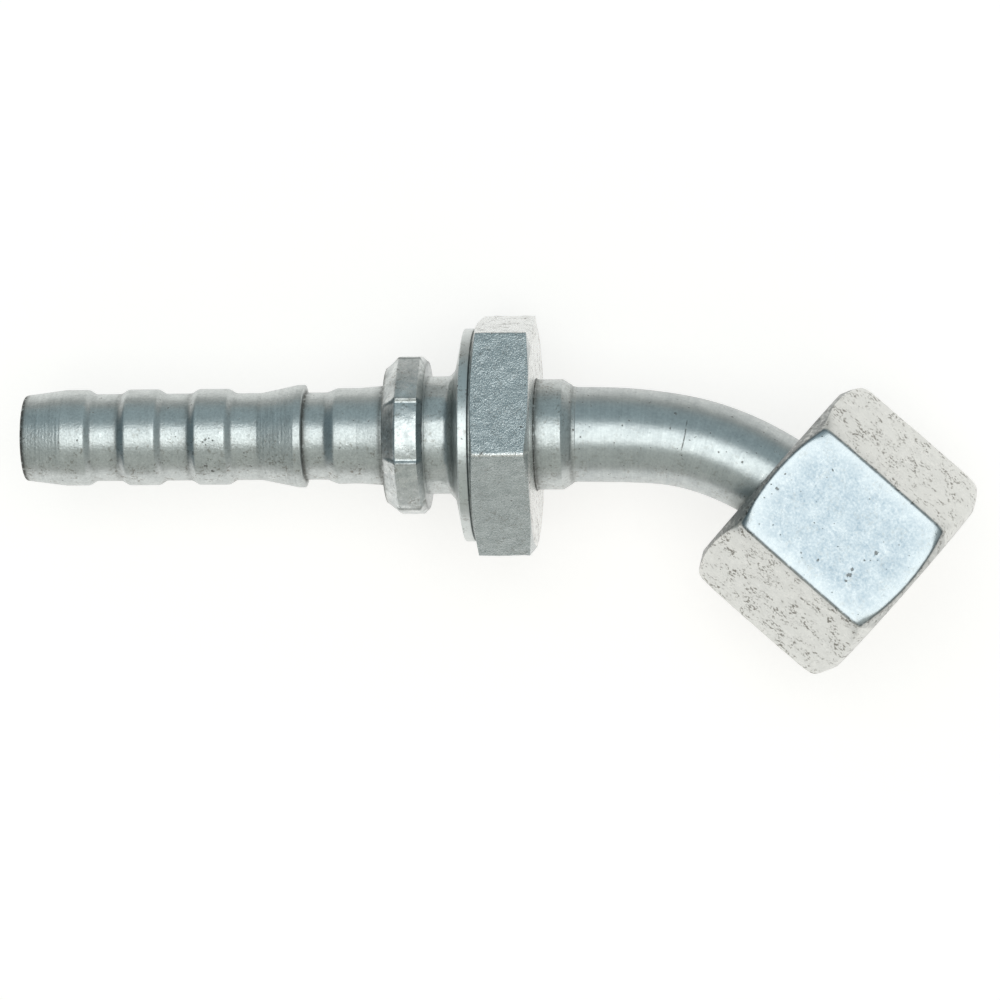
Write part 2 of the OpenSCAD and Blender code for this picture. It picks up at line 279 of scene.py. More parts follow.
zincFinishes = {
    # pale and dull: shades of the plating; rough: how matt it is; speckle and patches: contrast of
    # its fine and broad tones; grain and grainSize: depth of the crystals, and how many there are
    # in a millimetre; lines: depth of the turning lines; pits: share of dark pin holes; stains and
    # dashes: strength of smudges and of marks along x; paintedSheen: the paler shade painted on some
    # faces of the hexagon and the nut, a painted reflection; darkDirtAndShade: the colour of dirt and
    # of painted shade in corners and recesses; blots: dark spots (x, y, size) on the upper side,
    # where the surface has this radius, or is a flat this far from the axis and turned. A radius
    # just under the surface leaves its spots faint. scratch: a dark line at x + curve * y squared
    "turned": {"pale": (0.70, 0.73, 0.72), "dull": (0.44, 0.465, 0.46), "rough": 0.29,
        "speckle": 1.4, "patches": 0.9, "grain": 1.5, "grainSize": 3.2, "lines": 1.2,
        "pits": 0.55, "stains": 0.85, "dashes": 0.0, "darkDirtAndShade": (0.10, 0.095, 0.085),
        "paintedSheen": (0.70, 0.71, 0.69),
        "blots": ({"radius": 6.43, "spots": (
            (25.2, -0.3, 0.2), (24.8, -0.6, 0.16), (25.7, -0.1, 0.15), (25.3, -1.0, 0.14),
            (26.2, -0.4, 0.14), (25.9, -4.4, 0.3), (25.1, -3.8, 0.3))},
            {"radius": 6.2, "spots": ((5.5, -2.9, 0.25), (5.2, -3.9, 0.2))})},
    "collar": {"pale": (0.82, 0.84, 0.83), "dull": (0.46, 0.49, 0.49), "rough": 0.27,
        "speckle": 1.2, "patches": 1.6, "grain": 1.5, "grainSize": 2.6, "lines": 0.3,
        "pits": 0.5, "stains": 0.8, "dashes": 0.0, "darkDirtAndShade": (0.1, 0.09, 0.075),
        "paintedSheen": (0.70, 0.71, 0.69)},
    "forged": {"pale": (0.68, 0.72, 0.72), "dull": (0.42, 0.455, 0.46), "rough": 0.23,
        "speckle": 1.3, "patches": 0.9, "grain": 6.0, "grainSize": 3.8, "lines": 0.0,
        "pits": 0.6, "stains": 0.7, "dashes": 0.0, "darkDirtAndShade": (0.1, 0.09, 0.075),
        "paintedSheen": (1.0, 1.0, 0.98)},
    "tube": {"pale": (0.65, 0.68, 0.67), "dull": (0.41, 0.44, 0.445), "rough": 0.29,
        "speckle": 1.0, "patches": 0.9, "grain": 0.7, "grainSize": 2.6, "lines": 1.0,
        "pits": 0.65, "stains": 0.6, "dashes": 0.0, "darkDirtAndShade": (0.1, 0.09, 0.075),
        "paintedSheen": (0.68, 0.69, 0.67),
        "scratch": {"x": 88.98, "curve": -0.02, "middle": 1.0, "half": 2.2, "width": 0.07},
        "blots": ({"radius": 6.35, "spots": (
            (87.2, 3.6, 0.22), (97.2, 0.2, 0.15), (80.8, 1.4, 0.13), (83.4, -1.4, 0.12),
            (92.0, 2.2, 0.12))},)},
    "nut": {"pale": (0.60, 0.63, 0.635), "dull": (0.26, 0.335, 0.395), "rough": 0.28,
        "speckle": 1.2, "patches": 0.8, "grain": 1.2, "grainSize": 3.0, "lines": 0.0,
        "pits": 0.4, "stains": 0.7, "dashes": 0.33, "darkDirtAndShade": (0.08, 0.09, 0.10),
        "paintedSheen": (0.82, 0.82, 0.79),
        "blots": ({"flat": 14.75, "turn": 4.6, "spots": (
            (10.4, 1.6, 0.3), (9.7, -2.9, 0.32), (9.5, -2.1, 0.22), (9.9, -3.7, 0.2),
            (-4.75, -0.6, 0.24), (5.35, -4.1, 0.16), (3.1, -4.85, 0.15), (-0.9, 6.0, 0.14))},)},
    "head": {"pale": (0.68, 0.70, 0.69), "dull": (0.48, 0.50, 0.49), "rough": 0.28,
        "speckle": 0.8, "patches": 0.5, "grain": 0.6, "grainSize": 3.2, "lines": 1.0,
        "pits": 0.2, "stains": 0.2, "dashes": 0.0, "darkDirtAndShade": (0.1, 0.09, 0.075),
        "paintedSheen": (0.68, 0.69, 0.67)},
}


pattern = {
    # A noise is (scale, detail, roughness, distortion), and fine takes its scale from the finish;
    # a Stretch is the shares of x, y and z; a Range is where a pattern starts and where it is full
    "fine": (2.0, 0.7), "broad": (0.6, 3.0, 0.6), "lathe": (1.0, 2.0, 0.6),
    "latheStretch": (3.6, 0.12, 0.12), "middleShade": 0.45, "polishedShade": 0.75, "polishedCalm": 0.45,
    "paintedSheenRange": (1.0, 2.0), "paintedSheenDull": 0.8,
    "smudgeBroad": (0.5, 3.0, 0.65, 0.6), "smudgeBroadRange": (0.48, 0.62),
    "smudgeFine": (2.4, 2.0, 0.6), "smudgeFineRange": (0.5, 0.62), "smudge": (0.24, 0.23, 0.205, 1),
    "dash": (1.0, 3.0, 0.7), "dashStretch": (0.7, 2.0, 2.0), "dashRange": (0.63, 0.77),
    "dashGroups": (0.42, 0.58, 0.2, 1.0), "hair": (0.5, 3.0, 0.6, 1.2), "hairRange": (0.014, 0.002),
    "hairPlaces": (0.3, 1.0), "hairPlacesRange": (0.52, 0.60), "dashColour": (0.2, 0.19, 0.18, 1),
    "specks": (2.2, 1.0, 0.4), "pitRange": (0.80, 0.84), "pitGain": 0.1, "pitDepth": 0.75,
    "pitColour": (0.1, 0.095, 0.085, 1), "ragged": (0.3, 0.7), "raggedShare": 0.6, "blotCore": 0.5,
    "scratchFade": 0.5, "scratchSides": (2.0, 3.0), "scratchBreaks": (0.38, 0.5),
    "dirtAndShadeNoise": (1.4, 3.0, 0.7), "dirtAndShadeRange": (0.25, 0.5), "dirtAndShadeRough": 0.3,
    "dullRough": 0.05, "paleRough": -0.03, "bump": 0.02,
}


def surfaceHeight(group, y):
    # z where a group of blots lies: the root of (radius squared - y squared) on a round surface,
    # (distance - y sin turn) / cos turn on a flat
    if "radius" in group:
        return math.sqrt(group["radius"] ** 2 - y ** 2)
    turn = math.radians(group["turn"])
    return (group["flat"] - y * math.sin(turn)) / math.cos(turn)


def blots(tree, place, ragged, groups):
    # The strongest, over all spots, of a shade that is full within half the spot's size of its
    # middle and gone at its size, with that distance made ragged
    s = pattern
    total = 0.0
    for group in groups:
        for x, y, size in group["spots"]:
            away = vectorMath(tree, "DISTANCE", place, (x, y, surfaceHeight(group, y)))[1]
            frayed = ramp(tree, ragged, *s["ragged"], -size * s["raggedShare"], size * s["raggedShare"])
            hollow = ramp(tree, calc(tree, "ADD", away, frayed), size, size * s["blotCore"])
            total = calc(tree, "MAXIMUM", hollow, total)
    return total


def scratchLine(tree, place, ragged, line):
    # Full within half the width of x + curve * y squared and gone at one and a half widths, inside
    # the span in y, on the upper side, and broken where the ragged pattern is low
    s = pattern
    x, y, z = addNode(tree, "ShaderNodeSeparateXYZ", {0: place}).outputs
    course = calc(tree, "ADD", times(tree, y, line["curve"], y), line["x"])
    off = calc(tree, "ABSOLUTE", calc(tree, "SUBTRACT", x, course))
    along = calc(tree, "ABSOLUTE", calc(tree, "SUBTRACT", y, line["middle"]))
    inside = ramp(tree, along, line["half"], line["half"] - s["scratchFade"])
    onLine = ramp(tree, off, line["width"] * 1.5, line["width"] * 0.5)
    return times(tree, onLine, inside, ramp(tree, z, *s["scratchSides"]),
        ramp(tree, ragged, *s["scratchBreaks"]))


def endMaterial(tree, inputs):
    shader = addNode(tree, "ShaderNodeBsdfPrincipled", inputs)
    output = tree.nodes.new("ShaderNodeOutputMaterial")
    tree.links.new(shader.outputs[0], output.inputs[0])


def emptyMaterial(name):
    material = bpy.data.materials.new(name)
    material.use_nodes = True
    material.node_tree.nodes.clear()
    return material


def zincMaterial(name, finish):
    s = pattern
    material = emptyMaterial(name)
    tree = material.node_tree
    place = attribute(tree, "place", "Vector")
    dirtAndShade = attribute(tree, "dirtAndShade", "Fac")
    lines, stainsAndSheen, polish = addNode(tree, "ShaderNodeSeparateXYZ", {
        0: attribute(tree, "marks", "Vector")}).outputs
    # Past 1 the second mark turns the plating to a paler shade: painted sheen, a painted reflection on some
    # faces of the hexagon and the nut
    paintedSheenShare = ramp(tree, stainsAndSheen, *s["paintedSheenRange"])
    # Plating: shade = calm * (speckle * fine + patches * broad + lines * lathe, each less its half)
    # + level. Polish lowers calm from 1 to polishedCalm and raises level to polishedShade.
    fine = noise(tree, place, finish["grainSize"], *s["fine"])
    broad = noise(tree, place, *s["broad"])
    lathe = noise(tree, vectorMath(tree, "MULTIPLY", place, s["latheStretch"])[0], *s["lathe"])
    tones = calc(tree, "ADD", times(tree, aboutMiddle(tree, fine), finish["speckle"]),
        times(tree, aboutMiddle(tree, broad), finish["patches"]))
    tones = calc(tree, "ADD", tones, times(tree, aboutMiddle(tree, lathe), lines))
    calm = ramp(tree, polish, 0.0, 1.0, 1.0, s["polishedCalm"])
    level = ramp(tree, polish, 0.0, 1.0, s["middleShade"], s["polishedShade"])
    shade = calc(tree, "ADD", times(tree, tones, calm), level)
    plating = tint(tree, shade, (*finish["dull"], 1), (*finish["pale"], 1))
    paintedSheenDull = [part * s["paintedSheenDull"] for part in finish["paintedSheen"]]
    paintedSheen = tint(tree, shade, (*paintedSheenDull, 1), (*finish["paintedSheen"], 1))
    plating = tint(tree, paintedSheenShare, plating, paintedSheen)
    # Smudges where a broad and a fine pattern are both strong
    smudge = times(tree, ramp(tree, noise(tree, place, *s["smudgeBroad"]), *s["smudgeBroadRange"]),
        ramp(tree, noise(tree, place, *s["smudgeFine"]), *s["smudgeFineRange"]),
        stainsAndSheen, finish["stains"])
    colour = tint(tree, ramp(tree, smudge, 0.0, 1.0), plating, s["smudge"])
    if finish["dashes"]:
        # Short marks along the axis, and hair lines where a slow pattern passes its middle
        drawn = vectorMath(tree, "MULTIPLY", place, s["dashStretch"])[0]
        dash = times(tree, ramp(tree, noise(tree, drawn, *s["dash"]), *s["dashRange"]),
            ramp(tree, broad, *s["dashGroups"]))
        slow = aboutMiddle(tree, noise(tree, place, *s["hair"]))
        hair = times(tree, ramp(tree, calc(tree, "ABSOLUTE", slow), *s["hairRange"]),
            ramp(tree, noise(tree, place, *s["hairPlaces"]), *s["hairPlacesRange"]))
        mark = times(tree, calc(tree, "MAXIMUM", dash, hair), paintedSheenShare, finish["dashes"])
        colour = tint(tree, mark, colour, s["dashColour"])
    pitRange = [limit - s["pitGain"] * finish["pits"] for limit in s["pitRange"]]
    pits = ramp(tree, noise(tree, place, *s["specks"]), *pitRange)
    if "blots" in finish:
        pits = calc(tree, "MAXIMUM", pits, blots(tree, place, fine, finish["blots"]))
    if "scratch" in finish:
        pits = calc(tree, "MAXIMUM", pits, scratchLine(tree, place, fine, finish["scratch"]))
    colour = tint(tree, times(tree, pits, s["pitDepth"]), colour, s["pitColour"])
    # Darkening by dirt and by painted shade in corners, in recesses, round the nut's front flat and on its
    # back chamfer, broken up by noise
    dirtAndShadeShare = times(tree, dirtAndShade, ramp(tree, noise(tree, place, *s["dirtAndShadeNoise"]), *s["dirtAndShadeRange"]))
    colour = tint(tree, dirtAndShadeShare, colour, (*finish["darkDirtAndShade"], 1))
    # Height of the surface for the bump: turning lines and crystals, less the pits
    height = calc(tree, "ADD", times(tree, lathe, finish["lines"], lines),
        times(tree, fine, finish["grain"], calm))
    height = calc(tree, "SUBTRACT", height, pits)
    bump = addNode(tree, "ShaderNodeBump", {"Strength": 1.0, "Distance": s["bump"] * mm, "Height": height})
    matt = ramp(tree, shade, 0.0, 1.0, finish["rough"] + s["dullRough"], finish["rough"] + s["paleRough"])
    matt = calc(tree, "ADD", matt, times(tree, dirtAndShadeShare, s["dirtAndShadeRough"]))
    endMaterial(tree, {"Base Color": colour, "Metallic": 1.0, "Roughness": matt, "Normal": bump.outputs[0]})
    return material


rubber = {"grain": (3.0, 3.0, 0.6), "bloomRange": (0.4, 0.7), "dark": (0.018, 0.018, 0.018, 1),
    "bloom": (0.045, 0.044, 0.042, 1), "bump": 0.006, "rough": 0.38}


def rubberMaterial(name):
    s = rubber
    material = emptyMaterial(name)
    tree = material.node_tree
    grain = noise(tree, attribute(tree, "place", "Vector"), *s["grain"])
    colour = tint(tree, ramp(tree, grain, *s["bloomRange"]), s["dark"], s["bloom"])
    bump = addNode(tree, "ShaderNodeBump", {"Strength": 1.0, "Distance": s["bump"] * mm, "Height": grain})
    endMaterial(tree, {"Base Color": colour, "Roughness": s["rough"], "Normal": bump.outputs[0]})
    return material


materials = {kind: zincMaterial("zinc_" + kind, finish) for kind, finish in zincFinishes.items()}
materials["rubber"] = rubberMaterial("nitrile_rubber")
print("materials made:", ", ".join(materials))


tail = {
    "bore": 9.2, "mouth": 9.8, "mouthDepth": 0.3, "tip": 11.4, "tipRounding": 0.4,
    "ridge": 12.9, "groove": 11.7, "ridges": 3, "firstRidgeEnd": 8.65, "ridgePitch": 9.5,
    "ridgeLength": 4.08, "firstRidgeLength": 3.05, "rise": 0.95, "fall": 0.95,
    "riseRounding": 0.8, "fallRounding": 0.9,
    "barbStart": 32.0, "barb": 13.8, "lipStart": 37.0, "lipEnd": 37.95, "lipFall": 0.1,
    "grooveEnd": 40.95, "landStart": 42.3, "land": 12.85, "flareStart": 45.4, "end": 49.0,
    "flare": 13.4, "flareEdge": 0.55, "flareDrop": 0.03, "hidden": 1.0, "step": 0.3, "columns": 232,
    "waves": ((9.0, 3, 0.012),), "plainLines": 0.3, "stainsAndSheen": 0.55, "sideWear": 0.8, "leastWear": 0.15,
}


def hoseTail():
    s = tail
    ridges = []
    for i in range(s["ridges"]):
        back = s["firstRidgeEnd"] + i * s["ridgePitch"]
        if i:
            ridges += [(back - s["ridgeLength"] - s["rise"], s["groove"] / 2, s["riseRounding"], 0.3),
                (back - s["ridgeLength"], s["ridge"] / 2, s["riseRounding"], 0.0)]
        else:
            ridges += [(back - s["firstRidgeLength"], s["ridge"] / 2, s["riseRounding"], 0.0)]
        ridges += [(back, s["ridge"] / 2, s["fallRounding"], 0.0),
            (back + s["fall"], s["groove"] / 2, s["fallRounding"], 0.1)]
    # The fourth number of each corner darkens it: dirt, brown at the foot of each rise, and painted shade,
    # darkest behind the lip, round the tip's rim and where the flare meets the collar
    corners = [
        (s["mouthDepth"], s["bore"] / 2, 0.1, 0.3), (0.0, s["mouth"] / 2, 0.1, 0.3),
        (0.0, s["tip"] / 2, s["tipRounding"], 0.9), *ridges,
        (s["barbStart"], s["groove"] / 2, 0.8, 0.1), (s["lipStart"], s["barb"] / 2, 0.5, 0.0),
        (s["lipEnd"], s["barb"] / 2, 0.12, 0.1), (s["lipEnd"] + s["lipFall"], s["groove"] / 2, 0.15, 0.8),
        (s["grooveEnd"], s["groove"] / 2, 1.0, 0.1), (s["landStart"], s["land"] / 2, 1.1, 0.0),
        (s["flareStart"], s["land"] / 2, 0.8, 0.0),
        (s["end"] - s["flareEdge"], s["flare"] / 2 - s["flareDrop"], 0.1, 0.6),
        (s["end"], s["flare"] / 2, 0.0, 1.0), (s["end"] + s["hidden"], s["flare"] / 2, 0.0, 0.0),
        (s["end"] + s["hidden"], s["bore"] / 2, 0.0, 0.0),
    ]
    x, radius, dirtAndShade = outlineOf(corners, s["step"])
    theta = evenTurn(s["columns"])
    points = uneven(x, radius, theta, s["waves"])
    # Turning lines are deep on the tip's cone and on the barb, and smudges gather towards -Y
    onTip = x < s["firstRidgeEnd"] - s["firstRidgeLength"]
    onBarb = (x > s["barbStart"]) & (x < s["lipStart"])
    lines = np.where(onTip | onBarb, 1.0, s["plainLines"])
    stainsAndSheen = np.clip(s["stainsAndSheen"] - s["sideWear"] * np.sin(theta), s["leastWear"], 1.0)
    return makePiece("hose_tail", points, points, dirtAndShade[:, None], (lines[:, None], stainsAndSheen, 0.0),
        materials["turned"], "fitting", "hose_insert")


collar = {
    "start": 49.0, "end": 54.55, "inside": 12.8, "flats": 8, "acrossFlats": 20.9, "turn": 4.0,
    "cornerSoftness": 0.22, "round": 21.24, "roundness": 0.35, "upperBlend": 0.425,
    "burr": 0.05, "burrWidth": 0.26, "face": 18.0, "lead": 1.9, "edge": 0.75, "backFace": 19.8,
    "burrSideDark": 0.5, "burrSideDarkAt": 0.2, "burrSideDarkWidth": 0.15, "edgeOverlap": 0.1, "edgeRisen": 0.9,
    "leadShadeAndDirt": 0.45, "leadClear": 0.2, "waves": ((1.4, 5, 0.010), (5.0, 6, 0.015)),
    "step": 0.13, "columns": 600,
}


def lockingCollar():
    s = collar
    rim = s["round"] / 2
    # The front face against the tail's flare is darkened most and the back face less: painted shade between
    # the parts
    corners = [
        (s["start"], s["inside"] / 2, 0.0, 0.6), (s["start"], s["face"] / 2, 0.15, 0.7),
        (s["start"] + s["lead"], rim, 0.3, 0.0), (s["end"] - s["edge"], rim, 0.2, 0.0),
        (s["end"], s["backFace"] / 2, 0.12, 0.3), (s["end"], s["inside"] / 2, 0.0, 0.6),
    ]
    x, radius, dirtAndShade = outlineOf(corners, s["step"])
    theta = evenTurn(s["columns"])
    # The sides lie between a prism's and a cylinder's: prism + roundness * (rim - prism), with a
    # roundness of 1 on the uppermost one, and a low burr of burr * exp(-(distance from the
    # corner / width) squared)
    sector = fullTurn / s["flats"]
    fromCorner = (sector / 2 - np.abs(angleFrom(theta, s["turn"], sector))) * rim
    prism = flatSided(theta, s["flats"], s["acrossFlats"], s["turn"], s["cornerSoftness"])
    burr = s["burr"] * np.exp(-(fromCorner / s["burrWidth"]) ** 2)
    pastUpper = (np.abs(angleFrom(theta, s["turn"])) - sector / 2) * rim
    isUpper = np.clip(0.5 - pastUpper / s["upperBlend"], 0, 1)
    roundness = s["roundness"] + (1 - s["roundness"]) * isUpper
    outside = roundness * rim + (1 - roundness) * prism + burr
    # The radius runs from the face's to the side's own in step with how far the outline has
    # risen from the face to the rim, so that both chamfers end along straight lines
    middle = (s["start"] + s["end"]) / 2
    foot = np.where(x < middle, s["face"], s["backFace"]) / 2
    risen = ((radius - foot) / (rim - foot))[:, None]
    raised = foot[:, None] + risen * (outside[None, :] - foot[:, None])
    formed = np.where(risen > 0, raised, radius[:, None])
    points = uneven(x, formed, theta, s["waves"], risen > 0)
    # Dark lines beside the burrs, and painted shade, broken into specks of dirt, on the front chamfer ahead
    # of the uppermost side
    beside = s["burrSideDark"] * np.exp(-((fromCorner - s["burrSideDarkAt"]) / s["burrSideDarkWidth"]) ** 2)
    edge = (beside * (pastUpper > -s["edgeOverlap"]))[None, :] * (risen > s["edgeRisen"])
    onLead = ((x < s["start"] + s["lead"] - s["leadClear"]) & (x > s["start"]))[:, None]
    lead = s["leadShadeAndDirt"] * onLead * (pastUpper < 0)[None, :]
    dirtAndShade = np.maximum(np.maximum(dirtAndShade[:, None], edge), lead)
    return makePiece("locking_collar", points, points, dirtAndShade, (0.5, 0.8, 0.0),
        materials["collar"], "fitting", "hose_insert")


neck = {
    "start": 49.9, "inside": 9.2, "core": 15.0, "neckStart": 54.4, "neck": 15.85, "fillet": 1.8,
    "face": 58.2, "flangeStart": 59.55, "flange": 28.5, "flangeEnd": 60.85, "relief": 27.6,
    "end": 61.7, "step": 0.25, "columns": 480, "flats": 8, "acrossFlats": 15.7, "turn": 4.0,
    "cornerSoftness": 0.1, "pressSoftness": 0.03, "pressFrom": 0.2, "pressTo": 0.3,
    "waves": ((6.0, 11, 0.012),),
}


def neckFlange():
    s = neck
    # The relief groove behind the flange is darkened: painted shade in the recess
    corners = [
        (s["start"], s["inside"] / 2, 0.0, 0.0), (s["start"], s["core"] / 2, 0.0, 0.0),
        (s["neckStart"], s["core"] / 2, 0.0, 0.3), (s["neckStart"], s["neck"] / 2, 0.0, 0.3),
        (s["face"], s["neck"] / 2, s["fillet"], 0.0), (s["flangeStart"], s["flange"] / 2, 0.15, 0.0),
        (s["flangeEnd"], s["flange"] / 2, 0.12, 0.1), (s["flangeEnd"], s["relief"] / 2, 0.0, 0.35),
        (s["end"], s["relief"] / 2, 0.0, 0.35), (s["end"], s["inside"] / 2, 0.0, 0.0),
    ]
    x, radius, dirtAndShade = outlineOf(corners, s["step"])
    theta = evenTurn(s["columns"])
    # The neck is pressed a little flat in eight places: the lower of outline and eight-sided prism
    flat = flatSided(theta, s["flats"], s["acrossFlats"], s["turn"], s["cornerSoftness"])
    pressed = softLower(radius[:, None], flat[None, :], s["pressSoftness"])
    raised = radius > s["core"] / 2 + s["pressFrom"]
    onNeck = raised & (radius < s["neck"] / 2 + s["pressTo"]) & (x < s["flangeStart"])
    formed = np.where(onNeck[:, None], pressed, radius[:, None])
    points = uneven(x, formed, theta, s["waves"])
    polish = np.where((x > s["flangeStart"]) & (x < s["flangeEnd"]), 1.0, 0.0)
    return makePiece("neck_flange", points, points, dirtAndShade[:, None], (0.5, 0.7, polish[:, None]),
        materials["turned"], "fitting", "hose_insert")


hexagon = {
    "start": 61.15, "end": 69.05, "inside": 13.8, "flats": 6, "acrossFlats": 30.0, "turn": 22.0,
    "face": 28.8, "chamfer": 0.6, "overCorners": 34.9, "cornerSoftness": 0.16, "chamferSoftness": 0.06,
    "rimDepth": 0.5, "waves": ((1.4, 21, 0.02), (4.5, 22, 0.03)), "sunk": 0.03,
    "paleFlatSheen": 1.8, "plainStains": 0.6, "backFaceSheen": 1.9, "backDepth": 0.1, "edgeHighlight": 2.0,
    "edgeWidth": 0.3, "step": 0.17, "perFlat": 68, "crowding": 0.75,
}


def wrenchHexagon():
    s = hexagon
    corners = [
        (s["start"], s["inside"] / 2, 0.0, 0.3), (s["start"], s["face"] / 2, 0.1, 0.3),
        (s["start"] + s["chamfer"], s["overCorners"] / 2, 0.1, 0.0),
        (s["end"] - s["chamfer"], s["overCorners"] / 2, 0.1, 0.0),
        (s["end"], s["face"] / 2, 0.1, 0.2), (s["end"], s["inside"] / 2, 0.0, 0.3),
    ]
    x, radius, dirtAndShade = outlineOf(corners, s["step"])
    theta = turnByFlats(s["flats"], s["perFlat"], s["turn"], s["crowding"])
    flat = flatSided(theta, s["flats"], s["acrossFlats"], s["turn"], s["cornerSoftness"])
    cut = softLower(radius[:, None], flat[None, :], s["chamferSoftness"])
    outside = radius[:, None] > s["face"] / 2 - s["rimDepth"]
    formed = np.where(outside, cut, radius[:, None])
    points = uneven(x, formed, theta, s["waves"], outside, s["sunk"])
    # The flat towards +Y and the turned face behind are painted paler, a painted reflection, and the corner
    # towards -Y carries a painted highlight
    sector = 360 / s["flats"]
    onPale = np.abs(angleFrom(theta, s["turn"] + sector)) < math.pi / s["flats"]
    pale = np.where(onPale, s["paleFlatSheen"], s["plainStains"])[None, :]
    behind = np.where(x > s["end"] - s["backDepth"], s["backFaceSheen"], 0.0)[:, None]
    fromEdge = angleFrom(theta, s["turn"] - sector / 2) * s["acrossFlats"] / 2
    edge = s["edgeHighlight"] * np.exp(-(fromEdge / s["edgeWidth"]) ** 4)[None, :]
    stainsAndSheen = np.maximum(np.maximum(pale, behind), edge)
    return makePiece("wrench_hexagon", points, points, dirtAndShade[:, None], (0.0, stainsAndSheen, 0.0),
        materials["forged"], "fitting", "hose_insert")


hub = {
    "start": 61.5, "inside": 9.2, "core": 14.2, "hubStart": 69.0, "hub": 14.75, "taperStart": 72.65,
    "end": 73.85, "lip": 13.2, "socket": 12.8, "socketStart": 65.85, "step": 0.25, "columns": 300,
    "rootLength": 0.05, "rootRise": 0.2, "rootEnd": 0.3,
}


def tubeHub():
    s = hub
    corners = [
        # The hub's root against the hexagon is darkened: painted shade along the seam
        (s["start"], s["inside"] / 2, 0.0, 0.0), (s["start"], s["core"] / 2, 0.0, 0.0),
        (s["hubStart"], s["core"] / 2, 0.0, 1.0),
        (s["hubStart"] + s["rootLength"], s["hub"] / 2 + s["rootRise"], 0.0, 1.0),
        (s["hubStart"] + s["rootEnd"], s["hub"] / 2, 0.2, 0.6), (s["taperStart"], s["hub"] / 2, 0.35, 0.0),
        (s["end"], s["lip"] / 2, 0.1, 0.3), (s["end"], s["socket"] / 2, 0.0, 0.3),
        (s["socketStart"], s["socket"] / 2, 0.0, 0.0), (s["socketStart"], s["inside"] / 2, 0.0, 0.0),
    ]
    x, radius, dirtAndShade = outlineOf(corners, s["step"])
    theta = evenTurn(s["columns"])
    points = turned(x, radius, theta)
    return makePiece("tube_hub", points, points, dirtAndShade[:, None], (0.5, 0.8, 0.0), materials["turned"],
        "fitting", "hose_insert")


braze = {
    "hubEnd": 73.85, "tube": 12.7, "height": 0.22, "spread": 0.7, "kneeAt": 0.18, "knee": 0.09,
    "overlap": 0.05, "sunk": 0.03, "headFace": 1.5, "spigot": 12.4, "headHeight": 0.65,
    "headKneeAt": 0.2, "headKnee": 0.16, "headOverlap": 0.02, "step": 0.08, "columns": 240,
}


def hubBraze():
    s = braze
    foot = s["tube"] / 2
    start, end = s["hubEnd"] - s["overlap"], s["hubEnd"] + s["spread"]
    # The fillet is darkened in the corner between hub and tube: painted shade
    corners = [
        (start, foot - s["sunk"], 0.0, 0.3), (start, foot + s["height"], 0.0, 0.4),
        (s["hubEnd"] + s["kneeAt"], foot + s["knee"], 0.3, 0.4), (end, foot, 0.0, 0.3),
        (end, foot - s["sunk"], 0.0, 0.3),
    ]
    x, radius, dirtAndShade = outlineOf(corners, s["step"])
    theta = evenTurn(s["columns"])
    points = turned(x, radius, theta)
    return makePiece("hub_braze_fillet", points, points, dirtAndShade[:, None], (0.0, 0.5, 0.0),
        materials["turned"], "fitting", "hub_braze")


def headBraze():
    s = braze
    foot = s["spigot"] / 2
    corners = [
        (s["headFace"] - s["spread"], foot, 0.0, 0.3),
        (s["headFace"] - s["headKneeAt"], foot + s["headKnee"], 0.3, 0.4),
        (s["headFace"], foot + s["headHeight"], 0.0, 0.4),
        (s["headFace"] + s["headOverlap"], foot, 0.0, 0.3),
    ]
    x, radius, dirtAndShade = outlineOf(corners, s["step"])
    theta = evenTurn(s["columns"])
    points = turned(x, radius, theta)
    return makePiece("head_braze_fillet", onBendEnd(points), points, dirtAndShade[:, None], (0.0, 0.5, 0.0),
        materials["head"], "fitting", "head_braze")


tube = {
    "start": 65.9, "outer": 12.7, "inner": 9.2, "stub": 5.9, "spigotStart": 0.9, "spigot": 12.4,
    "spigotFall": 0.1, "flatIn": 0.34, "flatOut": 0.12, "widened": 0.12, "flatBefore": 2.0,
    "flatRise": 12.0, "flatAfter": 1.0, "flatFall": 9.0, "sag": 0.2, "sagAt": 4.0, "sagLength": 5.5,
    "stainsAndSheen": 0.45, "sideWear": 0.6, "leastWear": 0.1, "sideShade": 0.12, "sideShadeGain": 4.0,
    "sideShadeStart": 2.9, "step": 0.3, "columns": 256,
}


def alongBend(path, radius, theta):
    # Points round the tube's middle line: straight up to the bend, a circle of the bend's radius
    # about a centre on the -Y side, then straight on along the nut's axis. Each point is the
    # line's + radius * sin theta to the side + radius * cos theta up.
    arcLength = bendRadius * bendAngle
    swing = np.clip(path / arcLength, 0, 1) * bendAngle
    lead = np.minimum(path, 0)
    rest = np.maximum(path - arcLength, 0)
    x = bendStart + lead + bendRadius * np.sin(swing) + rest * math.cos(bendAngle)
    y = -bendRadius * (1 - np.cos(swing)) - rest * math.sin(bendAngle)
    side = radius * np.sin(theta)
    return np.stack([x + side * np.sin(swing), y + side * np.cos(swing),
        radius * np.cos(theta)], axis=-1)


